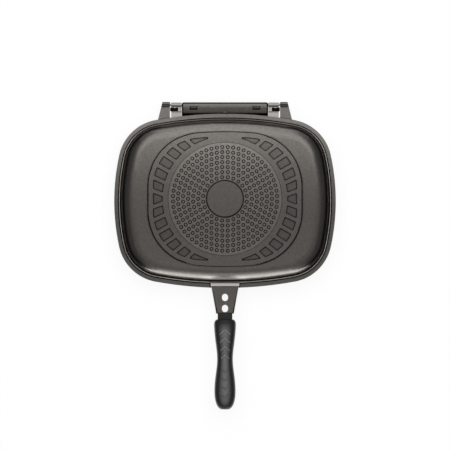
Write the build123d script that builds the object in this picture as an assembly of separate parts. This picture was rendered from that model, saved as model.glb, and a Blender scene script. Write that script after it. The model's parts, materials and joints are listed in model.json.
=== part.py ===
"""Double sided flip pan: two cast halves closed face to face on a rear hinge.

Frame: millimetres, +Z up, origin at the centre of the lower base on the surface it stands on.
+Y points from the handles to the hinge, X runs along the hinge rod.
Each half is modelled in its own half frame, with z = 0 on the parting plane and +z towards its base.
"""
from build123d import *
import math
import os

# ---- Rim and body of each half ----
PAN_WIDTH = 320.0          # over the rim, left to right
PAN_DEPTH = 252.0          # over the rim, front to back
BOW_FRONT = 560.0          # radius of the long front and back edges
BOW_SIDE = 310.0           # radius of the short left and right edges
RIM_CORNER = 65.5          # radius of the four rim corners
HALF_HEIGHT = 36.0         # parting plane to the outer face of a base
FLANGE_T = 2.6             # parting plane to the outer face of the rim flange
EDGE_BREAK = 0.6           # chamfer of the rim's outer edge
RIM_FLAT = 5.5             # flat of the flange, outside the shadow groove
RIM_GROOVE_W = 1.5         # V-shaped shadow groove between the flat and the bead
RIM_GROOVE_DEPTH = 1.1
RIM_GROOVE_FLAT = 0.2      # flat at its bottom
BEAD_W = 2.2               # raised bead over the gasket groove
BEAD_H = 1.6
BEAD_R = 0.9               # rounding of the bead's outer edge
WALL_T = 3.0               # thickness of the side walls
WALL_DRAFT = 8.0           # lean of the side walls, degrees
BASE_R = 20.0              # outer radius between wall and base
FLOOR_T = 3.0              # thickness of the cooking floor under the skirt

# ---- Base pattern ----
PLATEAU_WIDTH = 221.6      # raised oval that the pan stands on
PLATEAU_DEPTH = 194.0
PLATEAU_BOW_FRONT = 485.0
PLATEAU_BOW_SIDE = 2400.0
PLATEAU_CORNER = 77.5
PLATEAU_RISE = 1.6
PLATEAU_EDGE_R = 1.4       # rounding of its edge
POCKET_MARGIN = 7.4        # plateau edge to the outer side of the pockets
POCKET_INNER_R = 89.4      # inner side of the pockets
POCKET_DEPTH = 1.0
POCKET_LEAN = 35.0         # lean of the pockets' walls, degrees
POCKET_CORNER = 0.8        # corner radius at the floor of a pocket
CRESCENT_GAP = 24.0        # half the plain length between the tips of two crescents
RIB_W = 5.0                # ribs between the pockets
RIB_FOCUS_X = 118.0        # the ribs of a quadrant meet at this point of the opposite quadrant
RIB_FOCUS_Y = 72.5
RIB_FIRST = 20.8           # angle of the lowest rib, degrees
RIB_STEP = 4.3
RIB_COUNT = 6

# ---- Induction plate ----
PLATE_D = 162.4
PLATE_T = 0.8
PLATE_BORE_D = 53.0        # bore round the plain centre boss
PLATE_FIT = 0.15           # radial play between plate and casting
BOSS_GAP = 0.5             # radial gap round the centre boss
BOSS_EDGE_R = 0.7          # rounding of the boss
HOLE_D = 5.6
HOLE_RINGS = range(4, 11)  # ring k carries six times k holes
PLATE_WEB = 3.7            # plate's edge to the outermost holes
BORE_WEB = 2.1             # bore to the innermost holes

# ---- Gasket ----
GASKET_GAP = 0.5           # the upper rim stays this far off the parting plane
GASKET_W = 3.0
GASKET_SINK = 1.8          # depth of its groove in the upper rim
GASKET_SETBACK = 7.4       # rim edge to the groove

# ---- Hinge ----
ROD_D = 3.6
ROD_PLAY = 0.05            # radial running play in the leaves
HINGE_Y = 139.3            # rod axis, on the parting plane
EAR_R = 4.0                # barrel of the ears on the upper half
EAR_IN = 79.7              # inner face of an ear, from the centre
EAR_OUT = 90.5             # outer face at the back of the barrel
EAR_FLARE = 8.0            # how much wider the ear is at the rim
EAR_REACH = 28.0           # rod axis to the root of the ear inside the rim
EAR_SINK = 0.5             # the ear's web lies this far under the rim's face
LEAF_T = 1.3
LEAF_IN = 62.9             # inner and outer edge of a leaf
LEAF_OUT = 77.9
LEAF_SINK = 0.1            # the leaf lies this far under the lower rim's face
LEAF_RAMP = 2.8            # length of the ramp from the leaf's seat down to the barrel
LEAF_FLAT_END = 127.4      # back end of the flat seat
LEAF_SEAT_IN = 4.9         # how far the leaf reaches in from the rim's edge
WINDOW_STRIP = 4.3         # strip left beside the leaf's window
LUG_T = 5.0                # cast lug under the leaf's seat
LUG_REACH = 14.0           # how far the lug runs in from the rim's edge
SCREW_D = 3.0
SCREW_HEAD_D = 4.6
SCREW_HEAD_H = 1.2
SCREW_LENGTH = 5.0
SCREW_SPREAD = 8.4         # distance between the two screws of a leaf
SCREW_SETBACK = 2.4        # inner edge of the leaf to its screws
SOCKET_R = 1.0             # hexagon sockets of the leaf screws
SOCKET_DEPTH = 0.8
BUFFER_R = 2.8             # rubber lumps in the window
BUFFER_WAIST_R = 2.1
BUFFER_GAP = 0.3           # rubber to the ear
BUFFER_FOOT_T = 2.0
BUFFER_SPLIT = 72.6        # the groove between the two lumps, from the centre
BUFFER_GROOVE_W = 1.1

# ---- Guard over the rod ----
GUARD_T = 1.2
GUARD_HALF = 62.5          # half its length
GUARD_BACK = 142.8         # back face
GUARD_CREST = 5.3          # height of its crest over the rod axis
GUARD_BACK_R = 4.6         # rounding from the crest to the back face
GUARD_FRONT_R = 23.3       # long slope from the crest to the rim
GUARD_END_R = 3.0          # rounding of its two ends
GUARD_END_T = 2.4          # thickness of its end walls
GUARD_GAP = 0.6            # clearance to the rims
GUARD_DROP = 6.0           # its back wall ends this far under the rod axis
GUARD_HOLE_PLAY = 0.5      # radial play of the rod in its end walls
TONGUE_HALF = 50.0         # tongue under the lower rim
TONGUE_REACH = 5.3         # how far it reaches in from the rim's edge
NOTCH_W = 11.4             # two shallow recesses in the guard's face
NOTCH_L = 5.4
NOTCH_X = 45.4
NOTCH_Y = 134.2
NOTCH_DEPTH = 0.7
SLOT_L = 2.0               # slot through the guard at the front of each recess
PAD_W = 6.5                # small raised pad at the middle of the guard
PAD_L = 2.4
PAD_Y = 128.6
PAD_TOP = 4.0              # its height over the rod axis
RIVET_D = 3.0
RIVET_HEAD_D = 5.0
RIVET_HEAD_H = 1.4
RIVET_HEAD_R = 0.8         # rounding of the head
RIVET_SINK_D = 4.0         # countersunk end in the rim's face
RIVET_SINK_H = 1.0
RIVET_SETBACK = 3.0        # rim edge to the rivets
RIVET_X = 38.0

# ---- Bracket, collar and grip ----
BRACKET_GAP = 0.5          # brackets, collars and grips stay this far off the parting plane
BRACKET_T = 4.5            # parting plane to the bracket's outer face
BRACKET_ROOT = 20.6        # half width at the rim
BRACKET_TIP = 13.0         # half width at its end
BRACKET_END = 163.2        # distance of its end from the centre
BRACKET_FILLET = 6.0       # fillet into the rim's edge
BRACKET_EDGE_R = 1.6
ROOT_H = 7.3               # height of the thick root over the parting plane
ROOT_EDGE = 119.8          # front edge of the thick root
ROOT_SLOPE = 4.0           # length of the slope from the root to the bracket
HANG_W = 8.8               # two long holes through the bracket
HANG_L = 10.6
HANG_Y = 139.9
HANG_PITCH = 16.0
TANG_W = 12.0
TANG_T = 3.0
TANG_END = 214.0
COLLAR_HALF = 10.6
COLLAR_T = 5.4
COLLAR_R = 1.2
GRIP_START = 171.8
GRIP_END = 301.0
GRIP_WIDE = 31.4           # width at the shoulder
GRIP_WAIST = 22.6
GRIP_BULGE = 30.4
GRIP_THICK = 17.0          # thickness of one grip at the shoulder
GRIP_WAIST_THICK = 14.0
GRIP_SIDE = 0.36           # share of the thickness taken by the upright sides, under the round crown
FIT = 0.1                  # play round the tang
CHEVRON_T = 1.9            # raised chevrons
CHEVRON_RISE = 0.5
CHEVRON_SLOPE = 0.9        # fall of an arm for each millimetre of its reach
CHEVRON_FIRST = 13.4       # middle bar to the point of the nearest chevron
CHEVRON_PITCH = 12.1
CHEVRON_COUNT = 4          # on each side of the middle bar
CHEVRON_MIDDLE = 235.7     # distance of the middle bar from the centre
CHEVRON_INNER = 6.4        # half width of the nearest and of the farthest chevron
CHEVRON_OUTER = 9.0
MAGNET_D = 12.0
MAGNET_T = 3.0
MAGNET_Y = 226.0
HANDLE_SCREW_D = 4.0
HANDLE_SCREW_HEAD_D = 7.0
HANDLE_SCREW_HEAD_H = 1.8
HANDLE_SCREW_LENGTH = 11.0
HANDLE_SCREW_Y = 200.0
HANDLE_SOCKET_R = 1.5
HANDLE_SOCKET_DEPTH = 1.2

# ---- Sizes that follow ----
SKIRT_Z = HALF_HEIGHT - PLATEAU_RISE
BEAD_IN = RIM_FLAT + RIM_GROOVE_W
WALL_IN = BEAD_IN + BEAD_W
FLOOR_Z = SKIRT_Z - FLOOR_T
POCKET_RUN = POCKET_DEPTH * math.tan(math.radians(POCKET_LEAN))
HOLES_IN = (PLATE_BORE_D + HOLE_D) / 2 + BORE_WEB
HOLES_OUT = (PLATE_D - HOLE_D) / 2 - PLATE_WEB
LEAF_R = ROD_D / 2 + ROD_PLAY + LEAF_T
LEAF_LOW = LEAF_R - LEAF_T
LUG_BACK = LEAF_FLAT_END - 0.4
TANG_Z = (BRACKET_GAP + BRACKET_T) / 2
GRIP_LENGTH = GRIP_END - GRIP_START
CUT = 1.0                  # cutting tools run this far past the faces that they cut

# Sections of a grip: share of its length, width and thickness
GRIP_SECTIONS = [
    (0.000, 0.76 * GRIP_WIDE, 0.74 * GRIP_THICK),
    (0.022, 0.95 * GRIP_WIDE, 0.94 * GRIP_THICK),
    (0.080, GRIP_WIDE, GRIP_THICK),
    (0.240, 0.88 * GRIP_WIDE, 0.95 * GRIP_THICK),
    (0.450, GRIP_WAIST, GRIP_WAIST_THICK),
    (0.640, 0.91 * GRIP_BULGE, 0.94 * GRIP_THICK),
    (0.800, GRIP_BULGE, GRIP_THICK),
    (0.910, 0.90 * GRIP_BULGE, 0.93 * GRIP_THICK),
    (0.975, 0.65 * GRIP_BULGE, 0.76 * GRIP_THICK),
    (1.000, 0.36 * GRIP_BULGE, 0.52 * GRIP_THICK),
]


def rim_outline(inset=0.0):
    """Outline of the rim, moved inwards by inset."""
    return bowed_face(PAN_WIDTH, PAN_DEPTH, BOW_FRONT, BOW_SIDE, RIM_CORNER, inset)


def plateau_outline(inset=0.0):
    """Outline of the raised oval of a base, moved inwards by inset."""
    return bowed_face(PLATEAU_WIDTH, PLATEAU_DEPTH, PLATEAU_BOW_FRONT, PLATEAU_BOW_SIDE,
                      PLATEAU_CORNER, inset)


def bowed_face(width, depth, bow_front, bow_side, corner, inset):
    """Face bounded by eight tangent arcs: four bowed edges and four corners."""
    top = Vector(0, depth / 2 - bow_front)
    side = Vector(width / 2 - bow_side, 0)
    middle = circle_crossing(top, bow_front - corner, side, bow_side - corner)
    to_top = (middle - top).normalized()
    to_side = (middle - side).normalized()
    join_top = top + to_top * (bow_front - inset)
    join_side = side + to_side * (bow_side - inset)
    elbow = middle + (to_top + to_side).normalized() * (corner - inset)
    quarter = [join_top, elbow, join_side]
    right = Vector(width / 2 - inset, 0)
    back = Vector(0, depth / 2 - inset)
    ring = quarter + [right]
    ring += [Vector(p.X, -p.Y) for p in reversed(quarter)] + [-back]
    ring += [-p for p in quarter] + [-right]
    ring += [Vector(-p.X, p.Y) for p in reversed(quarter)] + [back]
    arcs = [ThreePointArc(ring[i], ring[i + 1], ring[(i + 2) % len(ring)]) for i in range(0, len(ring), 2)]
    return Face(Wire(arcs))


def circle_crossing(centre_a, radius_a, centre_b, radius_b):
    """The crossing of two circles that lies in the first quadrant."""
    span = centre_b - centre_a
    distance = span.length
    along = span.normalized()
    across = Vector(along.Y, -along.X)
    step = (radius_a ** 2 - radius_b ** 2 + distance ** 2) / (2 * distance)
    offset_across = math.sqrt(radius_a ** 2 - step ** 2)
    crossings = [centre_a + along * step + across * side * offset_across for side in (1, -1)]
    return max(crossings, key=lambda p: p.X + p.Y)


def prism(face, low, high):
    """The face, drawn on z = 0, as a solid from low to high."""
    return extrude(Pos(0, 0, low) * face, high - low, dir=(0, 0, 1))


def leaning_block(inset_low, low, high, draft, edge_radius):
    """Block under the rim outline whose sides lean inwards towards a rounded top edge."""
    inset_high = inset_low + (high - low) * math.tan(math.radians(draft))
    ends = ((low, inset_low), (high, inset_high))
    walls = [Pos(0, 0, z) * rim_outline(inset).outer_wire() for z, inset in ends]
    return rounded_top(Solid.make_loft(walls, ruled=True), edge_radius)


def rounded_top(block, radius):
    """The block with the edges of its top face rounded."""
    return fillet(block.faces().sort_by(Axis.Z)[-1].edges(), radius)


def box_between(x0, x1, y0, y1, z0, z1):
    """Box given by its corners."""
    return Pos((x0 + x1) / 2, (y0 + y1) / 2, (z0 + z1) / 2) * Box(x1 - x0, y1 - y0, z1 - z0)


def cylinder_z(x, y, low, high, diameter):
    """Upright cylinder."""
    return Pos(x, y, (low + high) / 2) * Cylinder(diameter / 2, high - low)


def cylinder_x(x0, x1, y, z, radius):
    """Cylinder along X."""
    return Pos((x0 + x1) / 2, y, z) * Rot(0, 90, 0) * Cylinder(radius, abs(x1 - x0))


def cone_z(x, y, low, high, diameter_low, diameter_high):
    """Upright cone."""
    return Pos(x, y, (low + high) / 2) * Cone(diameter_low / 2, diameter_high / 2, high - low)


def slab_yz(outline, half_length):
    """Solid along X, centred on x = 0, from a closed outline drawn with y across and z up."""
    return extrude(Plane.YZ * make_face(outline), half_length, both=True)


def facing_up(shape):
    """From the half frame to its place, with the base of the half at the top."""
    return Pos(0, 0, HALF_HEIGHT) * shape


def facing_down(shape):
    """From the half frame to its place, with the base of the half at the bottom."""
    return Pos(0, 0, HALF_HEIGHT) * mirror(shape, Plane.XY)


def rim_back(x):
    """Distance from the centre to the rim's back edge at a sideways place x."""
    return PAN_DEPTH / 2 - BOW_FRONT + math.sqrt(BOW_FRONT ** 2 - x ** 2)


# ---- Base pattern ----
def rib_lines(width):
    """The ribs between the pockets, as one flat shape."""
    reach = math.hypot(RIB_FOCUS_X, RIB_FOCUS_Y)
    ribs = Sketch()
    for side_x in (1, -1):
        for side_y in (1, -1):
            for index in range(RIB_COUNT):
                angle = math.radians(RIB_FIRST + index * RIB_STEP)
                turn = math.degrees(math.atan2(side_y * math.sin(angle), side_x * math.cos(angle)))
                focus = Pos(-side_x * RIB_FOCUS_X, -side_y * RIB_FOCUS_Y)
                ribs += focus * Rot(0, 0, turn) * Pos(1.5 * reach, 0) * Rectangle(reach, width)
    return ribs


def pockets():
    """The shallow pockets round the induction plate, drawn at their floors, as solids to cut away."""
    ring = Sketch() + plateau_outline(POCKET_MARGIN + POCKET_RUN) - Circle(POCKET_INNER_R + POCKET_RUN)
    ring -= Rectangle(2 * (CRESCENT_GAP + POCKET_RUN), PLATEAU_DEPTH)
    cells = (ring - rib_lines(RIB_W + 2 * POCKET_RUN)).faces()
    floors = [fillet((Sketch() + cell).vertices(), POCKET_CORNER) for cell in cells]
    depth = POCKET_DEPTH + FIT
    return [extrude(Pos(0, 0, HALF_HEIGHT - POCKET_DEPTH) * floor, depth, dir=(0, 0, 1), taper=-POCKET_LEAN)
            for floor in floors]


def hole_centres():
    """Centres of the induction plate's holes: ring k carries six times k of them."""
    centres = []
    pitch = (HOLES_OUT - HOLES_IN) / (len(HOLE_RINGS) - 1)
    for ring in HOLE_RINGS:
        radius = HOLES_IN + (ring - HOLE_RINGS[0]) * pitch
        count = 6 * ring
        for index in range(count):
            angle = math.pi / 2 + (index + 0.5) * 2 * math.pi / count
            centres.append((radius * math.cos(angle), radius * math.sin(angle)))
    return centres


def induction_plate():
    """Perforated steel disc, flush with the face that the pan stands on."""
    outer = Wire(Edge.make_circle(PLATE_D / 2))
    bore = Wire(Edge.make_circle(PLATE_BORE_D / 2))
    holes = [Wire(Edge.make_circle(HOLE_D / 2, Plane((x, y, 0)))) for x, y in hole_centres()]
    return prism(Face(outer, [bore] + holes), HALF_HEIGHT - PLATE_T, HALF_HEIGHT)


# ---- Cast halves ----
def bracket_outline(inset=0.0):
    """Tapered front bracket, drawn from well inside the rim to its end."""
    root_y = -ROOT_EDGE
    taper = (BRACKET_ROOT - BRACKET_TIP) / (BRACKET_END - ROOT_EDGE)
    inner_y = -ROOT_EDGE + 4 * ROOT_SLOPE
    half_inner = BRACKET_ROOT + (inner_y - root_y) * taper
    corners = [(half_inner - inset, inner_y), (BRACKET_TIP - inset, -BRACKET_END),
               (inset - BRACKET_TIP, -BRACKET_END), (inset - half_inner, inner_y)]
    return make_face(Polyline(*corners, close=True))


def rim_plate(face_gap):
    """The flat rim with the bracket's foot blended into its front edge."""
    plan = Sketch() + rim_outline() + bracket_outline()
    notches = [v for v in plan.vertices() if v.Y < -0.4 * PAN_DEPTH and abs(v.X) < 1.5 * BRACKET_ROOT
               and v.Y > -ROOT_EDGE - 2 * ROOT_SLOPE]
    plan = fillet(notches, BRACKET_FILLET)
    plate = prism(plan, face_gap, FLANGE_T)
    return chamfer(plate.faces().sort_by(Axis.Z)[-1].edges(), EDGE_BREAK)


def bracket(face_gap):
    """Bracket, its thick root on the rim and the tang that runs into the grip."""
    plate = prism(bracket_outline(), BRACKET_GAP, BRACKET_T)
    top_edges = plate.faces().sort_by(Axis.Z)[-1].edges()
    plate = fillet(top_edges.filter_by(lambda edge: abs(edge.tangent_at(0.5).Y) > 0.5), BRACKET_EDGE_R)
    inner_y = -ROOT_EDGE + 4 * ROOT_SLOPE
    low = max(face_gap, BRACKET_GAP)
    outline = Polyline((inner_y, low), (inner_y, ROOT_H), (-ROOT_EDGE, ROOT_H),
                       (-ROOT_EDGE - ROOT_SLOPE, BRACKET_T), (-ROOT_EDGE - ROOT_SLOPE, low), close=True)
    root = slab_yz(outline, BRACKET_ROOT)
    tang = box_between(-TANG_W / 2, TANG_W / 2, -TANG_END, -BRACKET_END + 2 * BRACKET_EDGE_R,
                       TANG_Z - TANG_T / 2, TANG_Z + TANG_T / 2)
    return plate + root + tang - handle_screw_shape()


def long_hole(y):
    """Cutting tool for one of the bracket's long holes."""
    slot = Rot(0, 0, 90) * SlotOverall(HANG_L, HANG_W)
    return prism(Pos(0, y) * slot, -CUT, ROOT_H + CUT)


def rim_cone(inset_low, inset_high, low, high):
    """Solid between two heights whose outline follows the rim, with one inset at each height."""
    return Solid.make_loft([Pos(0, 0, low) * rim_outline(inset_low).outer_wire(),
                            Pos(0, 0, high) * rim_outline(inset_high).outer_wire()], ruled=True)


def rim_groove():
    """V-shaped groove round the rim, as a cutting shape that ends just over the rim's face."""
    low = FLANGE_T - RIM_GROOVE_DEPTH
    high = FLANGE_T + FIT
    middle = RIM_FLAT + RIM_GROOVE_W / 2
    half_low = RIM_GROOVE_FLAT / 2
    half_high = half_low + (RIM_GROOVE_W / 2 - half_low) * (high - low) / RIM_GROOVE_DEPTH
    outer = rim_cone(middle - half_low, middle - half_high, low, high)
    return outer - rim_cone(middle + half_low, middle + half_high, low, high)


def cast_half(face_gap):
    """Rim, walls, floor, raised oval, bracket and tang of one half, without its hinge parts."""
    body = rim_plate(face_gap) - rim_groove()
    body += leaning_block(WALL_IN, face_gap, SKIRT_Z, WALL_DRAFT, BASE_R)
    body += rounded_top(prism(plateau_outline(), FLOOR_Z + CUT, HALF_HEIGHT), PLATEAU_EDGE_R)
    body += rounded_top(prism(rim_outline(BEAD_IN), FLANGE_T - CUT, FLANGE_T + BEAD_H), BEAD_R)
    body += bracket(face_gap)
    body -= leaning_block(WALL_IN + WALL_T, face_gap - CUT, FLOOR_Z, WALL_DRAFT, BASE_R - WALL_T)
    for y in (-HANG_Y, -HANG_Y - HANG_PITCH):
        body -= long_hole(y)
    seat = HALF_HEIGHT - PLATE_T
    body -= cylinder_z(0, 0, seat, HALF_HEIGHT + CUT, PLATE_D + 2 * PLATE_FIT)
    body += rounded_top(cylinder_z(0, 0, seat - CUT, HALF_HEIGHT, PLATE_BORE_D - 2 * BOSS_GAP), BOSS_EDGE_R)
    return body - pockets()


def handle_screw_shape():
    """Countersunk screw whose head is flush with the tang's inner face, as a plain solid."""
    low = TANG_Z - TANG_T / 2
    head = cone_z(0, -HANDLE_SCREW_Y, low, low + HANDLE_SCREW_HEAD_H, HANDLE_SCREW_HEAD_D, HANDLE_SCREW_D)
    return head + cylinder_z(0, -HANDLE_SCREW_Y, low, low + HANDLE_SCREW_LENGTH, HANDLE_SCREW_D)


def handle_screw():
    """The screw that holds a grip on its tang, with its hexagon socket."""
    low = TANG_Z - TANG_T / 2
    socket = Pos(0, -HANDLE_SCREW_Y) * RegularPolygon(HANDLE_SOCKET_R, 6)
    return handle_screw_shape() - prism(socket, low - CUT, low + HANDLE_SOCKET_DEPTH)


# ---- Hinge ----
def ear(side):
    """Cast ear of the upper half: a barrel round the rod and a web into the rim."""
    back = HINGE_Y + EAR_R
    front = HINGE_Y - EAR_REACH
    plan = make_face(Polyline((EAR_IN, back), (EAR_OUT, back), (EAR_OUT + EAR_FLARE, front), (EAR_IN, front),
                              close=True))
    web = box_between(EAR_IN, EAR_OUT + EAR_FLARE, front, HINGE_Y, GASKET_GAP, FLANGE_T - EAR_SINK)
    body = web + cylinder_x(EAR_IN, EAR_OUT + EAR_FLARE, HINGE_Y, 0, EAR_R)
    body &= prism(plan, -EAR_R - CUT, EAR_R + CUT)
    body -= cylinder_x(EAR_IN - CUT, EAR_OUT + EAR_FLARE, HINGE_Y, 0, ROD_D / 2)
    return body if side > 0 else mirror(body, Plane.YZ)


def leaf_seat_start():
    """Inner edge of a leaf's seat on the lower rim."""
    return rim_back((LEAF_IN + LEAF_OUT) / 2) - LEAF_SEAT_IN


def on_both_sides(shape):
    """The shape, drawn at +X, and its mirror image."""
    return [shape, mirror(shape, Plane.YZ)]


def hinge_leaf():
    """Stainless leaf at +X: flat seat, ramp, window with a strip beside it, barrel round the rod."""
    seat_top = LEAF_SINK
    start = leaf_seat_start()
    ramp_end = LEAF_FLAT_END + LEAF_RAMP
    outline = Polyline((start, seat_top), (LEAF_FLAT_END, seat_top), (ramp_end, LEAF_LOW),
                       (HINGE_Y, LEAF_LOW), (HINGE_Y, LEAF_R), (ramp_end, LEAF_R),
                       (LEAF_FLAT_END, seat_top + LEAF_T), (start, seat_top + LEAF_T), close=True)
    middle = (LEAF_IN + LEAF_OUT) / 2
    sheet = Pos(middle, 0, 0) * slab_yz(outline, (LEAF_OUT - LEAF_IN) / 2)
    leaf = sheet + cylinder_x(LEAF_IN, LEAF_OUT, HINGE_Y, 0, LEAF_R)
    leaf -= cylinder_x(LEAF_IN - CUT, LEAF_OUT + CUT, HINGE_Y, 0, ROD_D / 2 + ROD_PLAY)
    leaf -= box_between(LEAF_IN + WINDOW_STRIP, LEAF_OUT + CUT, ramp_end, HINGE_Y - LEAF_R,
                        -LEAF_R, LEAF_R + CUT)
    for screw in leaf_screw_shapes():
        leaf -= screw
    return leaf


def leaf_screw_shapes():
    """The two countersunk screws of the leaf at +X, as plain solids."""
    y = leaf_seat_start() + SCREW_SETBACK
    middle = (LEAF_IN + LEAF_OUT) / 2
    shapes = []
    for x in (middle - SCREW_SPREAD / 2, middle + SCREW_SPREAD / 2):
        head = cone_z(x, y, LEAF_SINK, LEAF_SINK + SCREW_HEAD_H, SCREW_HEAD_D, SCREW_D)
        shapes.append(head + cylinder_z(x, y, LEAF_SINK, LEAF_SINK + SCREW_LENGTH, SCREW_D))
    return shapes


def leaf_screws():
    """The four screws of the two leaves, each with its socket."""
    y = leaf_seat_start() + SCREW_SETBACK
    screws = []
    for screw in leaf_screw_shapes():
        x = screw.center().X
        screw -= prism(Pos(x, y) * RegularPolygon(SOCKET_R, 6), LEAF_SINK - CUT, LEAF_SINK + SOCKET_DEPTH)
        screws += on_both_sides(screw)
    return screws


def leaf_lug():
    """Cast lug under the leaf's seat at +X."""
    low = LEAF_SINK + LEAF_T
    return box_between(LEAF_IN, LEAF_OUT, rim_back(LEAF_OUT) - LUG_REACH, LUG_BACK, low, low + LUG_T)


def leaf_recess():
    """Recess for the leaf's seat in the lower rim at +X."""
    return box_between(LEAF_IN - FIT, LEAF_OUT + FIT, leaf_seat_start() - FIT, HINGE_Y,
                       -CUT, LEAF_SINK + LEAF_T)


def hinge_buffer():
    """Rubber buffer in the leaf's window at +X: two lumps on a foot that sits against the lug."""
    y = LEAF_FLAT_END + LEAF_RAMP + BUFFER_R + BUFFER_GAP / 2
    z = BUFFER_R + 2 * BUFFER_GAP
    inner = LEAF_IN + WINDOW_STRIP + BUFFER_GAP
    outer = EAR_IN - BUFFER_GAP
    body = cylinder_x(inner, outer, y, z, BUFFER_WAIST_R)
    body += cylinder_x(inner, BUFFER_SPLIT - BUFFER_GROOVE_W / 2, y, z, BUFFER_R)
    body += cylinder_x(BUFFER_SPLIT + BUFFER_GROOVE_W / 2, outer, y, z, BUFFER_R)
    foot_low = LEAF_R + BUFFER_GAP
    return body + box_between(inner, LEAF_OUT, LUG_BACK, y, foot_low, foot_low + BUFFER_FOOT_T)


# ---- Guard over the rod ----
def circle_point(centre_y, centre_z, radius, angle):
    """Point on a circle in the YZ plane, at an angle from +Y towards +Z."""
    turn = math.radians(angle)
    return (centre_y + radius * math.cos(turn), centre_z + radius * math.sin(turn))


def vault(inset, half_length, floor):
    """Solid under the guard's arched section, moved inwards by inset, down to floor."""
    crest_y = GUARD_BACK - GUARD_BACK_R
    back_z = GUARD_CREST - GUARD_BACK_R
    slope_z = GUARD_CREST - GUARD_FRONT_R
    front = rim_back(GUARD_HALF) - GUARD_T - CUT
    back_r = GUARD_BACK_R - inset
    slope_r = GUARD_FRONT_R - inset
    end_angle = math.degrees(math.acos((front - crest_y) / slope_r))
    crest = (crest_y, GUARD_CREST - inset)
    start = circle_point(crest_y, slope_z, slope_r, end_angle)
    outline = Curve() + [
        Line((front, floor), start),
        ThreePointArc(start, circle_point(crest_y, slope_z, slope_r, (end_angle + 90) / 2), crest),
        ThreePointArc(crest, circle_point(crest_y, back_z, back_r, 45), (crest_y + back_r, back_z)),
        Line((crest_y + back_r, back_z), (crest_y + back_r, floor)),
        Line((crest_y + back_r, floor), (front, floor)),
    ]
    return slab_yz(outline.edges(), half_length)


def guard_notches():
    """The two recesses in the guard's face, each with a slot through at its front, as cutting shapes."""
    skin = vault(0, GUARD_HALF, -GUARD_DROP) - vault(NOTCH_DEPTH, GUARD_HALF + CUT, -GUARD_DROP - CUT)
    front = NOTCH_Y - NOTCH_L / 2
    shapes = []
    for x in (-NOTCH_X, NOTCH_X):
        low = x - NOTCH_W / 2
        high = x + NOTCH_W / 2
        shapes.append(skin & box_between(low, high, front, front + NOTCH_L, 0, GUARD_CREST + CUT))
        shapes.append(box_between(low, high, front, front + SLOT_L, ROD_D / 2, GUARD_CREST + CUT))
    return shapes


def hinge_guard():
    """Coated cover over the rod, with a tongue that lies under the lower rim."""
    arch = vault(0, GUARD_HALF, -GUARD_DROP)
    end_edges = [e for e in arch.edges() if abs(abs(e.center().X) - GUARD_HALF) < FIT
                 and e.center().Z > -GUARD_DROP + FIT and e.center().Y > PAN_DEPTH / 2]
    shell = fillet(end_edges, GUARD_END_R)
    shell += box_between(-PAD_W / 2, PAD_W / 2, PAD_Y - PAD_L / 2, PAD_Y + PAD_L / 2, 0, PAD_TOP)
    shell -= prism(rim_outline(-GUARD_GAP), -GUARD_DROP - CUT, GUARD_CREST + CUT)
    inside = vault(GUARD_T, GUARD_HALF - GUARD_END_T, -GUARD_DROP - CUT)
    inside -= prism(rim_outline(-GUARD_GAP - GUARD_T), -GUARD_DROP - 2 * CUT, GUARD_CREST + CUT)
    shell -= inside
    shell -= cylinder_x(-GUARD_HALF - CUT, GUARD_HALF + CUT, HINGE_Y, 0, ROD_D / 2 + GUARD_HOLE_PLAY)
    for notch in guard_notches():
        shell -= notch
    tongue = prism(Sketch() + rim_outline(-GUARD_GAP - GUARD_T) - rim_outline(TONGUE_REACH),
                   -FLANGE_T - GUARD_T, -FLANGE_T)
    tongue &= box_between(-TONGUE_HALF, TONGUE_HALF, 0, PAN_DEPTH, -GUARD_DROP, 0)
    shell += tongue
    for rivet in guard_rivet_shapes():
        shell -= rivet
    return shell


def guard_rivet_shapes():
    """The rivets that hold the guard's tongue under the lower rim, flush with the rim's face."""
    shapes = []
    for x in (-RIVET_X, RIVET_X):
        y = rim_back(x) - RIVET_SETBACK
        bottom = -FLANGE_T - GUARD_T
        rivet = cylinder_z(x, y, bottom - RIVET_HEAD_H, 0, RIVET_D)
        rivet += cone_z(x, y, -RIVET_SINK_H, 0, RIVET_D, RIVET_SINK_D)
        rivet += rounded_bottom(cylinder_z(x, y, bottom - RIVET_HEAD_H, bottom, RIVET_HEAD_D), RIVET_HEAD_R)
        shapes.append(rivet)
    return shapes


def rounded_bottom(block, radius):
    """The block with the edges of its bottom face rounded."""
    return fillet(block.faces().sort_by(Axis.Z)[0].edges(), radius)


# ---- Handle ----
def collar():
    """Dark collar round the tang, between bracket and grip."""
    body = box_between(-COLLAR_HALF, COLLAR_HALF, -GRIP_START, -BRACKET_END, BRACKET_GAP, COLLAR_T)
    body = fillet(body.edges().filter_by(Axis.Y).sort_by(Axis.Z)[-2:], COLLAR_R)
    return body - tang_slot()


def tang_slot():
    """Open channel for the tang, from the inner face of collar and grip."""
    return box_between(-TANG_W / 2 - FIT, TANG_W / 2 + FIT, -TANG_END - FIT, 0, 0, TANG_Z + TANG_T / 2 + FIT)


def grip_section(share, width, thickness):
    """Outline of the grip's section at a share of its length."""
    half = width / 2
    shoulder = BRACKET_GAP + GRIP_SIDE * thickness
    crown_height = (1 - GRIP_SIDE) * thickness
    crown = EllipticalCenterArc((0, shoulder), half, crown_height, 0, arc_size=180)
    sides = Polyline((-half, shoulder), (-half, BRACKET_GAP), (half, BRACKET_GAP), (half, shoulder))
    section = make_face([crown, sides])
    plane = Plane(origin=(0, -GRIP_START - share * GRIP_LENGTH, 0), x_dir=(1, 0, 0), z_dir=(0, -1, 0))
    return (plane * section).face().outer_wire()


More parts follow.
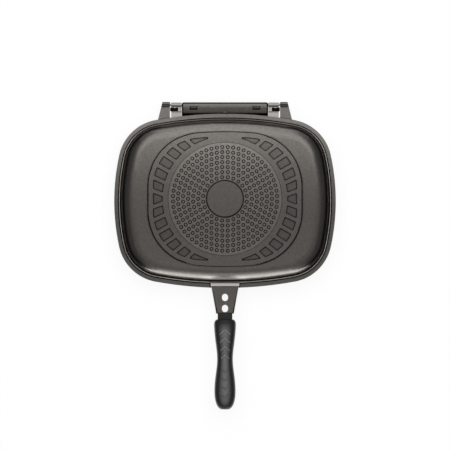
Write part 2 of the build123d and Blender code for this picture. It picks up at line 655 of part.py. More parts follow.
def chevron(point, direction, reach):
    """Tall prism of one V: its point is at y = point and its arms fall towards direction."""
    drop = direction * CHEVRON_SLOPE * reach
    line = direction * CHEVRON_T
    corners = [(0, point), (reach, point + drop), (reach, point + drop + line), (0, point + line),
               (-reach, point + drop + line), (-reach, point + drop)]
    return prism(make_face(Polyline(*corners, close=True)), BRACKET_GAP + CHEVRON_T, 2 * GRIP_THICK)


def chevrons():
    """Tall prisms of all the raised marks of a grip."""
    bar = box_between(-CHEVRON_INNER, CHEVRON_INNER, -CHEVRON_MIDDLE - CHEVRON_T / 2,
                      -CHEVRON_MIDDLE + CHEVRON_T / 2, BRACKET_GAP + CHEVRON_T, 2 * GRIP_THICK)
    marks = [bar]
    for index in range(CHEVRON_COUNT):
        offset = CHEVRON_FIRST + index * CHEVRON_PITCH
        reach = CHEVRON_INNER + (CHEVRON_OUTER - CHEVRON_INNER) * index / (CHEVRON_COUNT - 1)
        marks += [chevron(-CHEVRON_MIDDLE + side * offset, -side, reach) for side in (1, -1)]
    return marks


def grip():
    """Phenolic grip: flat inner face, round crown, raised marks, seats for tang, magnet and screw."""
    handle = Solid.make_loft([grip_section(*section) for section in GRIP_SECTIONS])
    raised = Pos(0, 0, CHEVRON_RISE) * handle
    body = handle
    for mark in chevrons():
        body += mark & raised
    return body - tang_slot() - magnet() - handle_screw_shape()


def magnet():
    """Disc magnet in the grip's inner face."""
    return cylinder_z(0, -MAGNET_Y, BRACKET_GAP, BRACKET_GAP + MAGNET_T, MAGNET_D)


# ---- Sub-parts ----
def lower_pan():
    """Cast half that the pan stands on, with lugs and recesses for the leaves."""
    body = cast_half(0)
    for lug in on_both_sides(leaf_lug()):
        body += lug
    for recess in on_both_sides(leaf_recess()):
        body -= recess
    for screw in leaf_screw_shapes():
        for copy in on_both_sides(screw):
            body -= copy
    for rivet in guard_rivet_shapes():
        body -= mirror(rivet, Plane.XY)
    return body


def gasket_ring():
    """Silicone ring between the rims."""
    ring = Sketch() + rim_outline(GASKET_SETBACK) - rim_outline(GASKET_SETBACK + GASKET_W)
    return prism(ring, 0, GASKET_GAP + GASKET_SINK)


def upper_pan():
    """Cast half that swings, with ears round the rod and the gasket's groove."""
    body = cast_half(GASKET_GAP)
    for side in (1, -1):
        body += ear(side)
    return body - gasket_ring()


def hinge_rod():
    """Steel rod, fixed in the ears and turning in the leaves."""
    return cylinder_x(-EAR_OUT, EAR_OUT, HINGE_Y, 0, ROD_D / 2)


def sub_parts():
    """Every node of the pan at its place, by name."""
    leaf_right, leaf_left = on_both_sides(hinge_leaf())
    buffer_right, buffer_left = on_both_sides(hinge_buffer())
    nodes = {
        "lower_pan": facing_down(lower_pan()),
        "upper_pan": facing_up(upper_pan()),
        "gasket": facing_up(gasket_ring()),
        "hinge_rod": facing_up(hinge_rod()),
        "hinge_leaf_left": facing_down(leaf_left),
        "hinge_leaf_right": facing_down(leaf_right),
        "hinge_buffer_left": facing_down(buffer_left),
        "hinge_buffer_right": facing_down(buffer_right),
        "leaf_screws": facing_down(Compound(children=leaf_screws())),
        "hinge_guard": facing_up(hinge_guard()),
        "guard_rivets": facing_up(Compound(children=guard_rivet_shapes())),
    }
    for half, place in (("lower", facing_down), ("upper", facing_up)):
        nodes[half + "_induction_plate"] = place(induction_plate())
        nodes[half + "_collar"] = place(collar())
        nodes[half + "_grip"] = place(grip())
        nodes[half + "_handle_screw"] = place(handle_screw())
        nodes[half + "_magnet"] = place(magnet())
    return nodes


os.makedirs("parts", exist_ok=True)
for name, shape in sub_parts().items():
    export_step(shape, f"parts/{name}.step")
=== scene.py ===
"""Looks of a double sided flip pan: finishes, fine cast detail and the stage, laid out as an add-on."""

import json
import math

import bmesh
import bpy
from bpy.props import FloatProperty, FloatVectorProperty, IntProperty, PointerProperty
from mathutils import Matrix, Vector
from mathutils.bvhtree import BVHTree


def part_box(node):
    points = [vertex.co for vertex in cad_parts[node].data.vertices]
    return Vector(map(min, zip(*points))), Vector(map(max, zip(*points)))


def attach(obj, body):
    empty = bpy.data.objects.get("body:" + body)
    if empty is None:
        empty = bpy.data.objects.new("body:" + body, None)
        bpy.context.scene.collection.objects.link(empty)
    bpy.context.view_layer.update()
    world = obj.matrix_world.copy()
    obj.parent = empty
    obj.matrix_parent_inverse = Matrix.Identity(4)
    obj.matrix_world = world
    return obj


bl_info = {
    "name": "Double Sided Flip Pan",
    "version": (1, 0, 0),
    "blender": (4, 5, 0),
    "location": "View3D > Sidebar > Flip Pan",
    "description": "Finishes and fine pieces of a hinged double pan, and the stage it stands on",
    "category": "Object",
}

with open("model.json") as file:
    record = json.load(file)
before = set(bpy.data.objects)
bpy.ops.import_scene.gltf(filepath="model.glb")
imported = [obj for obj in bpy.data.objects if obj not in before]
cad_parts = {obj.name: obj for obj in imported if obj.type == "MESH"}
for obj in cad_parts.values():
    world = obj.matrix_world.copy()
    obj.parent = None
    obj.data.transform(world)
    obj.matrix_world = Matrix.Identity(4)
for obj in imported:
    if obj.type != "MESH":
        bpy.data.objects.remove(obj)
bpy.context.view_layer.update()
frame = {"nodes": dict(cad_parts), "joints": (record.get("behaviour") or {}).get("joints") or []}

MM = 0.001


# ---- Places on the solids that the looks follow ----
# Heights are over the plane between the two halves, on either half. Distances are from the middle of the pan.
PART_PLANE = frame["joints"][0]["pos_m"][2]         # height of that plane, which holds the hinge's axis
FACE = PART_PLANE                                   # outer face of a base, as the lower base stands at zero
BASE_TOP = (FACE - 0.3 * MM, FACE + 1.0 * MM)       # all that is level with that face
BASE_WALLS = (FACE - 1.57 * MM, FACE - 0.01 * MM)   # walls of the pockets and edge of the raised oval
BOSS_MOATS = (FACE - 0.9 * MM, FACE - 0.21 * MM)    # moats round the bosses in the plates' holes
POCKET_FLOORS = (FACE - 1.1 * MM, FACE - 0.95 * MM)
RIM_GROOVE = (1.0 * MM, 2.5 * MM)                   # shadow groove inside the rim's flat
BEAD_CREST = (3.2 * MM, 4.25 * MM)
ROOT_STEP = (4.6 * MM, 7.3 * MM)                    # slope in front of the brackets' thick root
FRONT_WALL = (12.0 * MM, 27.5 * MM)                 # part of the wall behind the brackets that gets a painted highlight
BRACKET_FLANK = (0.6 * MM, 4.47 * MM)               # sides of a bracket, up to its rounded edge
BRACKET_TOP = (2.0 * MM, 5.0 * MM)
BRACKET_START = 125.5 * MM                          # all ahead of this belongs to a bracket
BRACKET_ROOT = 20.6 * MM                            # half width of a bracket at the rim
BRACKET_TAPER = 0.204                               # loss of half width for each unit along it
RIM_FRONT = 126.0 * MM
WALLS_FRONT = 92.5 * MM                             # front end of the painted shade on the base's walls
FRONT_PART = 100.0 * MM                             # back limit of the painted highlight at the brackets
PATCH_HALF = 36.0 * MM                              # half width of the painted highlight patch on the front wall
HIGHLIGHT_BEAD_END = 118.0 * MM                                # back end of the painted highlight along the bead
SHADE_START = 112.0 * MM                            # the coat darkens from here towards the hinge
PLATE_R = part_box("upper_induction_plate")[1].x
BORE_R = 26.5 * MM                                  # bore round the plain centre boss
GUARD_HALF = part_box("hinge_guard")[1].x             # half the guard's length
GUARD_END = 2.3 * MM                                # stretch at each of its ends that is painted dark as shade
NOTCH_X = 45.4 * MM                                 # middle of the two recesses of the guard
NOTCH_Y = 134.2 * MM
NOTCH_W = 11.4 * MM
NOTCH_L = 5.4 * MM
SLOT_L = 2.0 * MM                                   # slot through the guard at the front of each recess
PAD_Y = 128.6 * MM                                  # small pad at the middle of the guard
PAD_HALF_W = 3.3 * MM
PAD_HALF_L = 1.3 * MM
GRIP_FADE = 177.0 * MM                              # the grips' painted highlight along the crown fades out at this distance


# ---- Settings that a user would change ----
class CoatSettings(bpy.types.PropertyGroup):
    """Warm grey metallic coat of the castings, the induction plates and the hinge guard."""

    colour: FloatVectorProperty(
        name="Coat colour", description="Colour of the metallic coat", subtype="COLOR", size=3,
        min=0.0, max=1.0, default=(0.36, 0.334, 0.308))
    fleck: FloatProperty(
        name="Fleck", description="How far single flakes differ in tone from the coat", subtype="FACTOR",
        min=0.0, max=1.0, default=0.26)
    fleck_size: FloatProperty(
        name="Fleck size", description="Distance from flake to flake", unit="LENGTH", subtype="DISTANCE",
        min=0.0001, max=0.005, default=0.0015)
    roughness: FloatProperty(
        name="Roughness", description="Roughness of the coat", subtype="FACTOR",
        min=0.0, max=1.0, default=0.32)
    # Painted shade: how far the coat darkens in grooves, pockets and moats, and along walls and edges
    hollow_shade: FloatProperty(
        name="Cavity", description="How far the coat darkens in grooves, pockets and moats", subtype="FACTOR",
        min=0.0, max=1.0, default=1.0)
    # Painted highlight on the bead, the brackets' root and the front wall: its strength, then its pale colour
    highlight_strength: FloatProperty(
        name="Worn", description="How far the bead, the brackets' root and the front wall are rubbed bright",
        subtype="FACTOR", min=0.0, max=1.0, default=0.95)
    rubbed: FloatVectorProperty(
        name="Rubbed colour", description="Colour where the coat is rubbed bright", subtype="COLOR", size=3,
        min=0.0, max=1.0, default=(0.86, 0.84, 0.8))
    inside: FloatVectorProperty(
        name="Inside colour", description="Colour of the smooth non-stick coat inside", subtype="COLOR",
        size=3, min=0.0, max=1.0, default=(0.085, 0.082, 0.08))
    inside_roughness: FloatProperty(
        name="Inside roughness", description="Roughness of the smooth coat inside", subtype="FACTOR",
        min=0.0, max=1.0, default=0.24)


class PatternSettings(bpy.types.PropertyGroup):
    """Pattern of the induction plates' holes, and the cast bosses that fill them."""

    first_ring: IntProperty(
        name="First ring", description="A sixth of the holes in the innermost ring", min=1, max=20, default=4)
    last_ring: IntProperty(
        name="Last ring", description="A sixth of the holes in the outermost ring", min=1, max=30, default=10)
    hole: FloatProperty(
        name="Hole", description="Diameter of a hole", unit="LENGTH", subtype="DISTANCE",
        min=0.001, max=0.01, default=0.0056)
    edge_web: FloatProperty(
        name="Edge web", description="Plate's edge to the outermost holes", unit="LENGTH",
        subtype="DISTANCE", min=0.0, max=0.02, default=0.0037)
    bore: FloatProperty(
        name="Bore", description="Diameter of the plate's bore", unit="LENGTH", subtype="DISTANCE",
        min=0.01, max=0.2, default=2.0 * BORE_R)
    bore_web: FloatProperty(
        name="Bore web", description="Bore to the innermost holes", unit="LENGTH", subtype="DISTANCE",
        min=0.0, max=0.02, default=0.0021)
    sink: FloatProperty(
        name="Sink", description="How far a boss stays under the face of the plate", unit="LENGTH",
        subtype="DISTANCE", min=0.0, max=0.001, default=0.0002)


class ChevronSettings(bpy.types.PropertyGroup):
    """Raised marks of the grips."""

    middle: FloatProperty(
        name="Middle bar", description="Distance of the middle bar from the centre of the pan",
        unit="LENGTH", subtype="DISTANCE", min=0.0, max=1.0, default=0.2357)
    first: FloatProperty(
        name="First chevron", description="Middle bar to the point of the nearest chevron",
        unit="LENGTH", subtype="DISTANCE", min=0.0, max=0.1, default=0.0134)
    pitch: FloatProperty(
        name="Chevron pitch", description="Point to point of two chevrons", unit="LENGTH",
        subtype="DISTANCE", min=0.001, max=0.1, default=0.0121)
    count: IntProperty(
        name="Chevrons", description="Chevrons on each side of the middle bar", min=0, max=12, default=4)
    inner: FloatProperty(
        name="Inner reach", description="Half the width of the nearest chevron", unit="LENGTH",
        subtype="DISTANCE", min=0.001, max=0.05, default=0.0064)
    outer: FloatProperty(
        name="Outer reach", description="Half the width of the farthest chevron", unit="LENGTH",
        subtype="DISTANCE", min=0.001, max=0.05, default=0.0090)
    width: FloatProperty(
        name="Mark width", description="Width of a raised mark", unit="LENGTH", subtype="DISTANCE",
        min=0.0005, max=0.01, default=0.0019)
    fall: FloatProperty(
        name="Arm fall", description="Fall of an arm for each unit of its reach", min=0.0, max=3.0,
        default=0.9)


class SteelSettings(bpy.types.PropertyGroup):
    """Bare steel of the leaves, the rod, the screws, the rivets and the magnets."""

    colour: FloatVectorProperty(
        name="Steel colour", description="Colour of the bare steel", subtype="COLOR", size=3,
        min=0.0, max=1.0, default=(0.62, 0.6, 0.565))
    roughness: FloatProperty(
        name="Roughness", description="Roughness of the brushed steel", subtype="FACTOR",
        min=0.0, max=1.0, default=0.3)


class SealSettings(bpy.types.PropertyGroup):
    """Rubber of the hinge's buffers, of the black plugs in the guard's slots, which are painted shade, and
    silicone of the gasket.
    """

    # Near black, darker than plain rubber: the buffers' own black with painted shade, and all painted shade
    # on the slot plugs
    rubber: FloatVectorProperty(
        name="Rubber colour", description="Colour of the buffers and the plugs", subtype="COLOR", size=3,
        min=0.0, max=1.0, default=(0.004, 0.004, 0.004))
    silicone: FloatVectorProperty(
        name="Silicone colour", description="Colour of the gasket", subtype="COLOR", size=3,
        min=0.0, max=1.0, default=(0.10, 0.097, 0.093))


class GripSettings(bpy.types.PropertyGroup):
    """Dark moulded plastic of the grips and collars."""

    colour: FloatVectorProperty(
        name="Grip colour", description="Colour of the moulded grips", subtype="COLOR", size=3,
        min=0.0, max=1.0, default=(0.016, 0.016, 0.0165))
    # Crown, mark and collar colours and the crown start set a painted highlight along the tops of the grips,
    # the raised marks and the collars
    crown: FloatVectorProperty(
        name="Crown colour", description="Colour of the rubbed crown of the grips", subtype="COLOR", size=3,
        min=0.0, max=1.0, default=(0.13, 0.13, 0.131))
    mark: FloatVectorProperty(
        name="Mark colour", description="Colour of the rubbed tops of the raised marks", subtype="COLOR",
        size=3, min=0.0, max=1.0, default=(0.25, 0.25, 0.252))
    collar: FloatVectorProperty(
        name="Collar colour", description="Colour of the rubbed crown of the collars", subtype="COLOR",
        size=3, min=0.0, max=1.0, default=(0.03, 0.03, 0.03))
    start: FloatProperty(
        name="Crown start", description="Upward share of the normal at which the rubbing starts",
        subtype="FACTOR", min=0.0, max=0.99, default=0.8)
    roughness: FloatProperty(
        name="Roughness", description="Roughness of the moulded grips", subtype="FACTOR",
        min=0.0, max=1.0, default=0.4)


class StageSettings(bpy.types.PropertyGroup):
    """The camera's place and how much it shows."""

    distance: FloatProperty(
        name="Camera distance", description="Camera to the middle of the picture", unit="LENGTH",
        subtype="DISTANCE", min=1.0, max=20.0, default=5.0)
    tilt: FloatProperty(
        name="Camera tilt", description="How far the camera leans from the vertical towards the handles",
        unit="ROTATION", subtype="ANGLE", min=0.0, max=1.5, default=math.radians(4.0))
    view_width: FloatProperty(
        name="View width", description="Width of the picture at the rim of the pan", unit="LENGTH",
        subtype="DISTANCE", min=0.1, max=5.0, default=0.6498)
    aim_y: FloatProperty(
        name="Aim", description="Where the middle of the picture lies along the handles", unit="LENGTH",
        subtype="DISTANCE", min=-1.0, max=1.0, default=-0.0351)


# ---- Mesh helpers ----
def add_piece(name, mesh):
    """Object made from a bmesh, linked to the scene."""
    data = bpy.data.meshes.new(name)
    mesh.to_mesh(data)
    mesh.free()
    piece = bpy.data.objects.new(name, data)
    bpy.context.scene.collection.objects.link(piece)
    return piece


def smooth(piece):
    """Shades every face of a piece smooth."""
    for face in piece.data.polygons:
        face.use_smooth = True
    return piece


def turned_form(mesh, centre, up, profile, sides):
    """Adds a closed round form to a bmesh: profile lists (radius, height) from its foot to its crown."""
    x, y, z = centre
    rings = []
    for radius, height in profile:
        ring = []
        for side in range(sides):
            angle = 2.0 * math.pi * side / sides
            ring.append(mesh.verts.new((x + radius * math.cos(angle), y + radius * math.sin(angle),
                                        z + up * height)))
        rings.append(ring)
    for low, high in zip(rings, rings[1:]):
        for side in range(sides):
            after = (side + 1) % sides
            corners = [low[side], low[after], high[after], high[side]]
            mesh.faces.new(corners if up > 0 else corners[::-1])
    mesh.faces.new(rings[-1] if up > 0 else rings[-1][::-1])
    mesh.faces.new(rings[0][::-1] if up > 0 else rings[0])


# ---- Node helpers ----
def new_group(name, inputs, outputs):
    """Shader node group with named float, vector or colour sockets; returns it with its two ends."""
    group = bpy.data.node_groups.new(name, "ShaderNodeTree")
    for label, kind, default in inputs:
        socket = group.interface.new_socket(label, in_out="INPUT", socket_type=kind)
        if default is not None:
            socket.default_value = default
    for label, kind in outputs:
        group.interface.new_socket(label, in_out="OUTPUT", socket_type=kind)
    return group, group.nodes.new("NodeGroupInput"), group.nodes.new("NodeGroupOutput")


def shared_group(name, build):
    """Node group of a name, built the first time that it is asked for."""
    return bpy.data.node_groups.get(name) or build(name)


def use_group(tree, group, **values):
    """Places a node group and sets its named inputs."""
    placed = tree.nodes.new("ShaderNodeGroup")
    placed.node_tree = group
    for key, value in values.items():
        placed.inputs[key.replace("_", " ")].default_value = value
    return placed


def node(tree, kind, **settings):
    """New node of a tree with its settings; a name that holds a socket label sets that socket."""
    made = tree.nodes.new(kind)
    for key, value in settings.items():
        if key in made.bl_rna.properties:
            setattr(made, key, value)
        else:
            made.inputs[key.replace("_", " ")].default_value = value
    return made


def feed(tree, socket, value):
    """Links an input to another socket, or gives it a plain value."""
    if isinstance(value, bpy.types.NodeSocket):
        tree.links.new(value, socket)
    else:
        socket.default_value = value


def math_node(tree, operation, first, second=None, clamp=False):
    """Math node; first and second are sockets or numbers. Returns its output."""
    made = node(tree, "ShaderNodeMath", operation=operation, use_clamp=clamp)
    feed(tree, made.inputs[0], first)
    if second is not None:
        feed(tree, made.inputs[1], second)
    return made.outputs[0]


def chain(tree, operation, first, *others):
    """Takes values together with one operation, from left to right."""
    for other in others:
        first = math_node(tree, operation, first, other)
    return first


def both(tree, *shares):
    """Product of shares: high only where each of them is."""
    return chain(tree, "MULTIPLY", *shares)


def either(tree, *shares):
    """Largest of shares: high where any of them is."""
    return chain(tree, "MAXIMUM", *shares)


def rest_of(tree, share):
    """What a share leaves of one."""
    return math_node(tree, "SUBTRACT", 1.0, share)


def below(tree, value, limit):
    """One where a value is below a limit, else zero."""
    return math_node(tree, "LESS_THAN", value, limit)


def above(tree, value, limit):
    """One where a value is above a limit, else zero."""
    return math_node(tree, "GREATER_THAN", value, limit)


def rise(tree, value, start, run):
    """Share that climbs from zero at a start to one, over a run."""
    return math_node(tree, "DIVIDE", math_node(tree, "SUBTRACT", value, start), run, clamp=True)


def fall(tree, value, stop, run):
    """Share that drops from one to zero at a stop, over a run before it."""
    return math_node(tree, "DIVIDE", math_node(tree, "SUBTRACT", stop, value), run, clamp=True)


def apart(tree, value, place):
    """How far a value is from a place, on either side of it."""
    return math_node(tree, "ABSOLUTE", math_node(tree, "SUBTRACT", value, place))


def ridge(tree, value, place, reach):
    """Share that is one at a place and fades to zero on both sides, over a reach."""
    return rest_of(tree, math_node(tree, "DIVIDE", apart(tree, value, place), reach, clamp=True))


def point_axes(tree, output="Object"):
    """The x, y and z of a shaded point, or those of its normal for the output Normal."""
    place = node(tree, "ShaderNodeTexCoord")
    axes = node(tree, "ShaderNodeSeparateXYZ")
    tree.links.new(place.outputs[output], axes.inputs[0])
    return axes.outputs["X"], axes.outputs["Y"], axes.outputs["Z"]


def from_middle(tree):
    """Distance of a shaded point from the upright axis through the middle of the pan."""
    place = node(tree, "ShaderNodeTexCoord")
    level = node(tree, "ShaderNodeVectorMath", operation="MULTIPLY")
    level.inputs[1].default_value = (1.0, 1.0, 0.0)
    length = node(tree, "ShaderNodeVectorMath", operation="LENGTH")
    tree.links.new(place.outputs["Object"], level.inputs[0])
    tree.links.new(level.outputs[0], length.inputs[0])
    return length.outputs["Value"]


def rgba(colour):
    """Colour with full alpha."""
    return (colour[0], colour[1], colour[2], 1.0)


def mix_colour(tree, factor, first, second):
    """Mix of two colours; each value is a socket or a plain one. Returns its output."""
    made = node(tree, "ShaderNodeMix", data_type="RGBA", blend_type="MIX")
    for index, value in ((0, factor), (6, first), (7, second)):
        feed(tree, made.inputs[index], value)
    return made.outputs[2]


def toned(tree, colour, tone):
    """Colour times a tone; each is a socket or a plain value. Returns its output."""
    scale = node(tree, "ShaderNodeVectorMath", operation="SCALE")
    feed(tree, scale.inputs[0], colour)
    feed(tree, scale.inputs["Scale"], tone)
    return scale.outputs[0]


def shaded(tree, colour, share, tone):
    """Colour socket blended by a share towards itself times a darker or lighter tone. Returns its output."""
    return mix_colour(tree, share, colour, toned(tree, colour, tone))


def relief(tree, shader, height, strength, depth):
    """Gives a shader the fine relief of a height."""
    bump = node(tree, "ShaderNodeBump", Strength=strength, Distance=depth)
    tree.links.new(height, bump.inputs["Height"])
    tree.links.new(bump.outputs["Normal"], shader.inputs["Normal"])


def bare_material(name):
    """Material without nodes; returns it and its tree."""
    material = bpy.data.materials.new(name)
    material.use_nodes = True
    material.node_tree.nodes.clear()
    return material, material.node_tree


def put_out(tree, shader):
    """Makes a shader the surface of its material."""
    output = node(tree, "ShaderNodeOutputMaterial")
    tree.links.new(shader.outputs[0], output.inputs["Surface"])


def new_material(name):
    """Material with a plain Principled surface; returns it, its tree and its shader."""
    material, tree = bare_material(name)
    shader = node(tree, "ShaderNodeBsdfPrincipled")
    put_out(tree, shader)
    return material, tree, shader


def wear(names, material):
    """Gives the named CAD nodes one material."""
    for name in names:
        piece = frame["nodes"][name]
        piece.data.materials.clear()
        piece.data.materials.append(material)


# ---- Shared effects ----
def tone_around_one(tree, value, strength):
    """Tone that swings around one by a strength, from a value between zero and one."""
    centred = math_node(tree, "SUBTRACT", value, 0.5)
    return math_node(tree, "ADD", math_node(tree, "MULTIPLY", centred, strength), 1.0)


def fleck_group(name):
    """Fine flakes of a metallic coat: a tone that differs from flake to flake, and their relief."""
    group, start, end = new_group(
        name,
        [("Size", "NodeSocketFloat", 0.001), ("Strength", "NodeSocketFloat", 0.2)],
        [("Tone", "NodeSocketFloat"), ("Relief", "NodeSocketFloat")])
    place = node(group, "ShaderNodeTexCoord")
    cells = node(group, "ShaderNodeTexVoronoi", feature="F1")
    group.links.new(place.outputs["Object"], cells.inputs["Vector"])
    group.links.new(math_node(group, "DIVIDE", 1.0, start.outputs["Size"]), cells.inputs["Scale"])
    split = node(group, "ShaderNodeSeparateColor")
    group.links.new(cells.outputs["Color"], split.inputs["Color"])
    tone = tone_around_one(group, split.outputs["Red"], start.outputs["Strength"])
    group.links.new(tone, end.inputs["Tone"])
    group.links.new(split.outputs["Green"], end.inputs["Relief"])
    return group


def noise_tone(group, start, end, vector, detail):
    """Adds noise over a vector to a group and puts out its tone. Returns the noise itself."""
    noise = node(group, "ShaderNodeTexNoise", Detail=detail)
    group.links.new(vector, noise.inputs["Vector"])
    group.links.new(math_node(group, "DIVIDE", 1.0, start.outputs["Size"]), noise.inputs["Scale"])
    tone = tone_around_one(group, noise.outputs["Fac"], start.outputs["Strength"])
    group.links.new(tone, end.inputs["Tone"])
    return noise.outputs["Fac"]


def cloud_group(name):
    """Slow, soft variation of tone over a surface, around one."""
    group, start, end = new_group(
        name,
        [("Size", "NodeSocketFloat", 0.05), ("Strength", "NodeSocketFloat", 0.1)],
        [("Tone", "NodeSocketFloat")])
    place = node(group, "ShaderNodeTexCoord")
    noise_tone(group, start, end, place.outputs["Object"], 3.0)
    return group


def grain_group(name):
    """Fine grain, stretched along one axis by its three stretch values: a tone around one and a relief."""
    group, start, end = new_group(
        name,
        [("Size", "NodeSocketFloat", 0.001), ("Strength", "NodeSocketFloat", 0.2),
         ("Stretch", "NodeSocketVector", None)],
        [("Tone", "NodeSocketFloat"), ("Relief", "NodeSocketFloat")])
    place = node(group, "ShaderNodeTexCoord")
    stretched = node(group, "ShaderNodeVectorMath", operation="MULTIPLY")
    group.links.new(place.outputs["Object"], stretched.inputs[0])
    group.links.new(start.outputs["Stretch"], stretched.inputs[1])
    noise = noise_tone(group, start, end, stretched.outputs[0], 4.0)
    group.links.new(noise, end.inputs["Relief"])
    return group


def band_group(name):
    """Share of a point between two heights over the plane between the halves, with soft edges."""
    group, start, end = new_group(
        name,
        [("Low", "NodeSocketFloat", 0.0), ("High", "NodeSocketFloat", 0.01),
         ("Soft", "NodeSocketFloat", 0.0001)],
        [("Inside", "NodeSocketFloat")])
    height = apart(group, point_axes(group)[2], PART_PLANE)
    over = rise(group, height, start.outputs["Low"], start.outputs["Soft"])
    under = fall(group, height, start.outputs["High"], start.outputs["Soft"])
    group.links.new(both(group, over, under), end.inputs["Inside"])
    return group


def facing_group(name):
    """Which way a face looks: level up or down, and in towards the closed pan."""
    group, start, end = new_group(
        name, [("Middle", "NodeSocketFloat", PART_PLANE)],
        [("Level", "NodeSocketFloat"), ("Inwards", "NodeSocketFloat")])
    upward = point_axes(group, "Normal")[2]
    height = math_node(group, "SUBTRACT", point_axes(group)[2], start.outputs["Middle"])
    inward_lean = -0.0001
    group.links.new(math_node(group, "ABSOLUTE", upward), end.inputs["Level"])
    leaning = math_node(group, "MULTIPLY", height, upward)
    group.links.new(below(group, leaning, inward_lean), end.inputs["Inwards"])
    return group


# ---- Finishes ----
class Spot:
    """Sockets of one material that say where a shaded point lies and which way its face looks."""

    def __init__(self, tree):
        facing = use_group(tree, shared_group("facing", facing_group), Middle=PART_PLANE)
        self.tree = tree
        self.across, self.along, _height = point_axes(tree)
        self.level = facing.outputs["Level"]
        self.inwards = facing.outputs["Inwards"]

    def band(self, low, high, soft=0.1 * MM):
        """Share between two heights over the plane between the halves, with soft ends."""
        group = shared_group("height_band", band_group)
        return use_group(self.tree, group, Low=low, High=high, Soft=soft).outputs["Inside"]

    def out(self):
        """Distance from the middle plane, to either side."""
        return math_node(self.tree, "ABSOLUTE", self.across)

    def sloped(self):
        """One on faces that aren't level."""
        level_from = 0.97
        return below(self.tree, self.level, level_from)


def outline_shade_share(spot):
    """Share of painted shade lines: the base's walls, the rim's groove and the brackets' edges."""
    tree = spot.tree
    floor_level = 0.992
    walls = both(tree, spot.band(*BASE_WALLS), below(tree, spot.level, floor_level),
                 above(tree, spot.along, -WALLS_FRONT))
    groove = both(tree, spot.band(*RIM_GROOVE, soft=0.3 * MM), spot.sloped())

    top_level = 0.93
    flanks = both(tree, spot.band(*BRACKET_FLANK), below(tree, spot.level, top_level))
    taper = math_node(tree, "MULTIPLY", math_node(tree, "ADD", spot.along, RIM_FRONT), BRACKET_TAPER)
    inset = math_node(tree, "SUBTRACT", math_node(tree, "ADD", taper, BRACKET_ROOT), spot.out())
    line_width = 2.9 * MM
    line_fade = 0.8 * MM
    edges = both(tree, fall(tree, inset, line_width, line_fade), spot.band(*BRACKET_TOP))
    brackets = both(tree, either(tree, flanks, edges), below(tree, spot.along, -BRACKET_START))
    return either(tree, walls, groove, brackets)


def painted_highlight_share(spot, crest):
    """Share of painted highlight: slopes of the bead, step of the brackets' root and middle of the front
    wall.
    """
    tree = spot.tree
    upright_to = 0.3
    turned = both(tree, above(tree, spot.level, upright_to), spot.sloped())
    bead = both(tree, crest, turned, fall(tree, spot.along, HIGHLIGHT_BEAD_END, run=30.0 * MM))
    patch = fall(tree, spot.out(), PATCH_HALF, run=16.0 * MM)
    wall = both(tree, patch, spot.band(*FRONT_WALL, soft=4.0 * MM))
    step = both(tree, spot.band(*ROOT_STEP), turned)
    front = both(tree, either(tree, step, wall), below(tree, spot.along, -FRONT_PART))
    return either(tree, bead, front)


def plate_shades(spot):
    """Shares and tones of the base's rings: painted shade lines at the plate's seam and its bore's edge; the
    plate lighter.
    """
    tree = spot.tree
    top = spot.band(*BASE_TOP)
    radius = from_middle(tree)
    seam = ridge(tree, radius, PLATE_R + 0.4 * MM, reach=0.7 * MM)
    plate = both(tree, above(tree, radius, BORE_R + 0.2 * MM), below(tree, radius, PLATE_R))
    bore = ridge(tree, radius, BORE_R + 0.4 * MM, reach=1.2 * MM)
    for share, tone in ((seam, 0.35), (plate, 1.34), (bore, 0.06)):
        yield both(tree, share, top), tone


def coat_finish(settings):
    """Warm grey metallic non-stick coat with fine flakes, painted shade in its hollows, painted highlights in
    places, and smooth and near black inside."""
    material, tree, shader = new_material("pan_coat")
    spot = Spot(tree)
    fleck = use_group(tree, shared_group("metal_fleck", fleck_group), Size=settings.fleck_size,
                      Strength=settings.fleck)
    cloud = use_group(tree, shared_group("soft_cloud", cloud_group), Size=60.0 * MM, Strength=0.08)
    coat = toned(tree, settings.colour, both(tree, fleck.outputs["Tone"], cloud.outputs["Tone"]))

    # Painted shade: darker by ambient occlusion in narrow hollows, along the outlines of the base's walls,
    # the rim's groove and the brackets' edges, in the bosses' moats, on the pockets' floors and on the bead's
    # flat crest
    shelter = node(tree, "ShaderNodeAmbientOcclusion", samples=8, Distance=2.6 * MM)
    gain = 4.2
    crevice_shade = math_node(tree, "MULTIPLY", rest_of(tree, shelter.outputs["AO"]), gain, clamp=True)
    crest = spot.band(*BEAD_CREST)
    flat_crest_shade = both(tree, crest, rest_of(tree, spot.sloped()))
    moats = spot.band(*BOSS_MOATS, soft=0.04 * MM)
    floors = spot.band(*POCKET_FLOORS, soft=0.03 * MM)
    for share, tone in ((crevice_shade, 0.05), (outline_shade_share(spot), 0.05), (moats, 0.28), (floors, 0.8),
                        (flat_crest_shade, 0.2)):
        coat = shaded(tree, coat, math_node(tree, "MULTIPLY", share, settings.hollow_shade), tone)
    coat = shaded(tree, coat, rise(tree, spot.along, SHADE_START, run=12.0 * MM), 0.8)
    for share, tone in plate_shades(spot):
        coat = shaded(tree, coat, share, tone)
    # Painted highlight: the bead's slopes, the brackets' root step and the front wall's middle lighten
    # towards a pale colour
    rubbed = math_node(tree, "MULTIPLY", painted_highlight_share(spot, crest), settings.highlight_strength)
    coat = mix_colour(tree, rubbed, coat, rgba(settings.rubbed))
    coat = mix_colour(tree, spot.inwards, coat, rgba(settings.inside))
    tree.links.new(coat, shader.inputs["Base Color"])

    outside = rest_of(tree, spot.inwards)
    dulled = math_node(tree, "MULTIPLY", rubbed, 0.8)
    tree.links.new(both(tree, outside, rest_of(tree, dulled)), shader.inputs["Metallic"])
    rougher = math_node(tree, "MULTIPLY", outside, settings.roughness - settings.inside_roughness)
    tree.links.new(math_node(tree, "ADD", rougher, settings.inside_roughness), shader.inputs["Roughness"])
    relief(tree, shader, both(tree, fleck.outputs["Relief"], outside), strength=0.25, depth=0.03 * MM)
    return material


